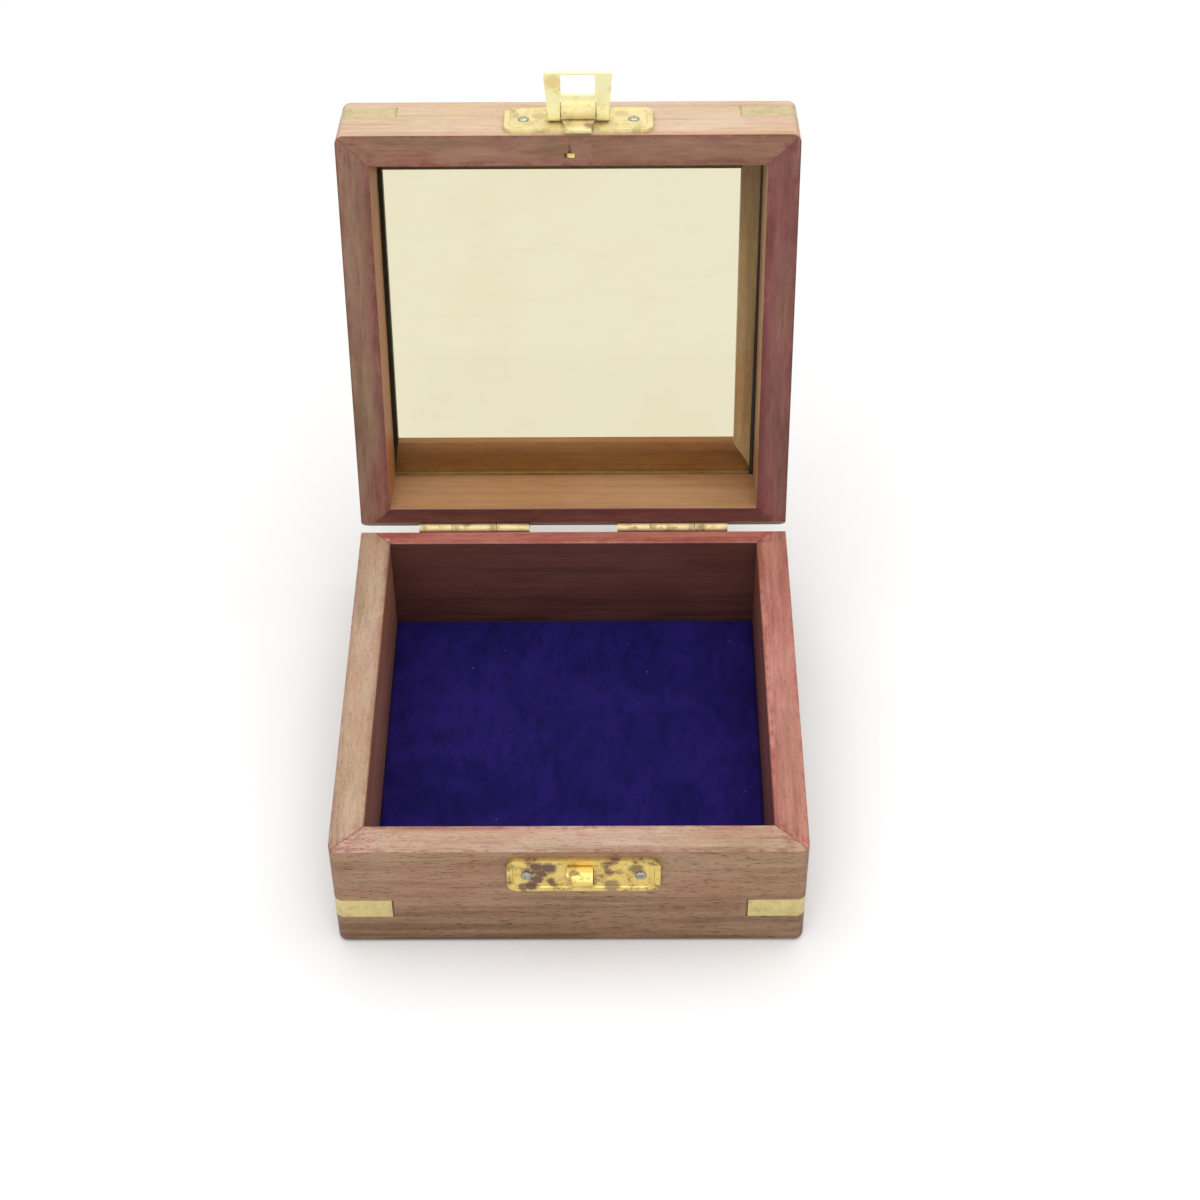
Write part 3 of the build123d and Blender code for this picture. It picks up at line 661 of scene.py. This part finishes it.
for corner in ("front_left", "front_right", "back_left", "back_right"):
    dress(f"base_strip_{corner}", straps_base)
    dress(f"lid_strip_{corner}", straps_lid)
dress("base_strip_pins", straps_base)
dress("lid_strip_pins", straps_lid)
dress("catch_plate", catch_brass)
dress("catch_nails", nail_base)
dress("hasp_plate", hasp_brass)
dress("hasp_nails", nail_lid)
dress("hasp_pin", pin_brass)
dress("hasp_flap", flap_brass)
dress("rim_brad", brad_brass)
for side in ("left", "right"):
    dress(f"hinge_{side}_base_leaf", hinge_brass)
    dress(f"hinge_{side}_lid_leaf", hinge_brass)
    dress(f"hinge_{side}_pin", hinge_brass)
dress("base_hinge_nails", nail_base)
dress("lid_hinge_nails", nail_lid)
dress("glass_pane", glass("glass_straw"))


# Ways to build the pieces that the scene adds
def tube(build, rings):
    """A closed skin over rings of vertices, flat at both ends."""
    count = len(rings[0])
    for near, far in zip(rings, rings[1:]):
        for i in range(count):
            j = (i + 1) % count
            build.faces.new((near[i], near[j], far[j], far[i]))
    build.faces.new(rings[0][::-1])
    build.faces.new(rings[-1])


def add_piece(build, mesh_name, name, body, material):
    """Turns what was built into a smooth piece that rides on that body."""
    mesh = bpy.data.meshes.new(mesh_name)
    bmesh.ops.recalc_face_normals(build, faces=build.faces)
    build.to_mesh(mesh)
    build.free()
    piece = bpy.data.objects.new(name, mesh)
    bpy.context.scene.collection.objects.link(piece)
    mesh.materials.append(material)
    for face in mesh.polygons:
        face.use_smooth = True
    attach(piece, body)
    return piece


def opened(x, y, z):
    """A point of the closed lid, in millimetres, where the open lid has it, in metres."""
    point = Vector((x, y, z)) * MM - HINGE_POINT
    return Matrix.Rotation(-OPEN_ANGLE, 3, "X") @ point + HINGE_POINT


# Velvet lining: a thin sheet with soft edges, slightly uneven where the glue holds it
def lining_height(x, y):
    edge, drop = 0.9, 0.45
    sunk, swell, crest = 0.07, 0.10, 0.6
    from_edge = min(LINING_HALF - abs(x), LINING_HALF - abs(y))
    rounding = drop * max(0.0, 1.0 - from_edge / edge) ** 2
    wave = noise.noise(Vector((x * 0.06, y * 0.06, 3.0)))
    wave += 0.5 * noise.noise(Vector((x * 0.17, y * 0.17, 9.0)))
    return LINING_TOP - swell * crest - rounding - sunk + swell * min(crest, wave)


def velvet_lining():
    steps = 96
    skirt = LINING_BOTTOM + 0.05
    places = [LINING_HALF * (2 * i / steps - 1) for i in range(steps + 1)]
    build = bmesh.new()
    rows = [
        [build.verts.new((x * MM, y * MM, lining_height(x, y) * MM)) for x in places]
        for y in places
    ]
    for near, far in zip(rows, rows[1:]):
        for i in range(steps):
            build.faces.new((near[i], near[i + 1], far[i + 1], far[i]))
    border = rows[0][:]
    border += [row[-1] for row in rows[1:]]
    border += rows[-1][-2::-1]
    border += [row[0] for row in rows[-2:0:-1]]
    low = [build.verts.new((v.co.x, v.co.y, skirt * MM)) for v in border]
    for k, vert in enumerate(border):
        after = (k + 1) % len(border)
        build.faces.new((border[after], vert, low[k], low[after]))
    build.faces.new(low[::-1])
    piece = add_piece(build, "velvet", "velvet_sheet", "base", velvet("velvet_blue"))
    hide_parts("velvet_lining")


# Painted shadow: a dark strip against the pane's inner face along its right-hand reveal, for the
# shade in the gap there, widening towards the hinges
def pane_shadow_strip():
    steps = 64
    clear, end_gap = 0.02, 0.05
    narrow, widening, uneven = 0.36, 0.62, 0.07
    wall, pane = INNER - clear, SEAM + PANE_DEPTH
    build = bmesh.new()
    rings = []
    for k in range(steps + 1):
        y = (INNER - end_gap) * (2 * k / steps - 1)
        wide = narrow + widening * k / steps + uneven * noise.noise(Vector((y * 0.9, 5.0, 1.0)))
        section = [
            (wall, -0.34),
            (wall, -clear),
            (wall - wide, -clear),
            (wall - 0.86 * wide, -0.12),
            (wall - 0.45 * wide, -0.24),
        ]
        rings.append([build.verts.new(opened(x, y, pane + drop)) for x, drop in section])
    tube(build, rings)
    # The strip's dark colour is painted shadow
    dark = filler_and_shadow("shadow_dark", "lid", (34, 31, 26), (20, 19, 17))
    piece = add_piece(build, "pane_shadow_mesh", "pane_shadow_strip", "lid", dark)


# Filler in the gaps at the straps' ends, sunk a little and shrunk away from the strap
def strap_filler(body, level, shrunk, material):
    steps = 8
    clear, uneven = 0.02, 0.03
    start = HALF - STRAP_LENGTH - shrunk
    width = STRAP_GAP - shrunk - clear
    bottom = STRAP_DEPTH - 2 * clear
    # Across the gap, from the strap to the wood: share of the width, and how deep it lies
    section = [(0.0, bottom), (0.0, 0.10), (0.35, 0.15), (0.7, 0.12), (1.0, 0.05), (1.0, bottom)]
    build = bmesh.new()
    for turn in range(4):
        corner = Matrix.Rotation(turn * radians(90), 3, "Z")
        for side in (-1, 1):
            rings = []
            for k in range(steps + 1):
                z = level + STRAP_HEIGHT * k / steps
                ring = []
                for share, sunk in section:
                    wave = noise.noise(Vector((z * 1.3, turn * 5.0 + side, share * 2.0)))
                    along = side * (start - width * share)
                    point = corner @ Vector((along, sunk + uneven * wave - HALF, z))
                    place = opened(*point) if body == "lid" else point * MM
                    ring.append(build.verts.new(place))
                rings.append(ring)
            tube(build, rings)
    piece = add_piece(build, "filler", f"strap_filler_{body}", body, material)


velvet_lining()
pane_shadow_strip()
base_filler = filler_and_shadow("filler_base", "base", (128, 98, 74), (100, 74, 56))
lid_filler = filler_and_shadow("filler_lid", "lid", (206, 178, 146), (180, 152, 122))
strap_filler("base", BASE_STRAP, 0.12, base_filler)
strap_filler("lid", LID_STRAP, 0.04, lid_filler)


# Camera
def add_camera():
    forward = Vector((
        sin(CAMERA_YAW) * cos(CAMERA_PITCH),
        cos(CAMERA_YAW) * cos(CAMERA_PITCH),
        -sin(CAMERA_PITCH),
    ))
    level = Vector((cos(CAMERA_YAW), -sin(CAMERA_YAW), 0.0))
    upright = level.cross(forward)
    right = level * cos(CAMERA_ROLL) + upright * sin(CAMERA_ROLL)
    up = upright * cos(CAMERA_ROLL) - level * sin(CAMERA_ROLL)
    camera = bpy.data.objects.new("camera", bpy.data.cameras.new("camera"))
    bpy.context.scene.collection.objects.link(camera)
    camera.data.lens = CAMERA_LENS
    camera.data.sensor_width = CAMERA_SENSOR
    camera.data.clip_start = CAMERA_NEAR
    turn = Matrix((right, up, -forward)).transposed().to_4x4()
    camera.matrix_world = Matrix.Translation(CAMERA_POINT) @ turn
    bpy.context.scene.camera = camera


# Light: two large soft lamps, overhead and in front, and an even white room
def add_lamp(name, point, target, width, power):
    lamp = bpy.data.objects.new(name, bpy.data.lights.new(name, "AREA"))
    lamp.data.shape = "SQUARE"
    lamp.data.size = width
    lamp.data.energy = power
    lamp.location = point
    lamp.rotation_mode = "QUATERNION"
    lamp.rotation_quaternion = (Vector(target) - Vector(point)).to_track_quat("-Z", "Y")
    bpy.context.scene.collection.objects.link(lamp)


def add_room(fill):
    """A world that lights the scene at that level and looks white, also in gloss and glass."""
    world = bpy.data.worlds.new("room")
    bpy.context.scene.world = world
    world.use_nodes = True
    tree = world.node_tree
    tree.nodes.clear()
    path = tree.nodes.new("ShaderNodeLightPath")
    seen = path.outputs["Is Camera Ray"]
    for ray in ("Is Glossy Ray", "Is Transmission Ray"):
        both = tree.nodes.new("ShaderNodeMath")
        both.operation = "MAXIMUM"
        tree.links.new(seen, both.inputs[0])
        tree.links.new(path.outputs[ray], both.inputs[1])
        seen = both.outputs[0]
    level = tree.nodes.new("ShaderNodeMapRange")
    tree.links.new(seen, level.inputs["Value"])
    level.inputs["To Min"].default_value = fill
    level.inputs["To Max"].default_value = 1.0
    background = tree.nodes.new("ShaderNodeBackground")
    background.inputs["Color"].default_value = (1.0, 1.0, 1.0, 1.0)
    tree.links.new(level.outputs[0], background.inputs["Strength"])
    out = tree.nodes.new("ShaderNodeOutputWorld")
    tree.links.new(background.outputs[0], out.inputs[0])


def add_floor():
    """Pale paper that keeps the shadow round the box and is white far away and through glass."""
    s = Shader("floor_paper")
    through = s.node("LightPath", out="Is Transmission Ray")
    straight = s.node("LightPath", out="Is Camera Ray")
    away = s.node("VectorMath", (s.node("TexCoord", out="Object"),), out=1, operation="LENGTH")
    far = s.mul(straight, s.step(away, WHITE_FROM, WHITE_AT))
    paper = s.node("BsdfDiffuse", {"Color": (FLOOR_GREY, FLOOR_GREY, FLOOR_GREY, 1.0)})
    lit = s.node("Emission", {"Color": (1.0, 1.0, 1.0, 1.0), "Strength": 1.0})
    material = s.output(s.node("MixShader", (s.most(through, far), paper, lit)))
    mesh = bpy.data.meshes.new("floor")
    build = bmesh.new()
    bmesh.ops.create_grid(build, x_segments=1, y_segments=1, size=FLOOR_HALF)
    build.to_mesh(mesh)
    build.free()
    mesh.materials.append(material)
    floor = bpy.data.objects.new("floor", mesh)
    bpy.context.scene.collection.objects.link(floor)


add_camera()
add_lamp("key", **KEY_LAMP)
add_lamp("front", **FRONT_LAMP)
add_room(ROOM_LEVEL)
add_floor()
bpy.context.scene.view_settings.view_transform = "Standard"
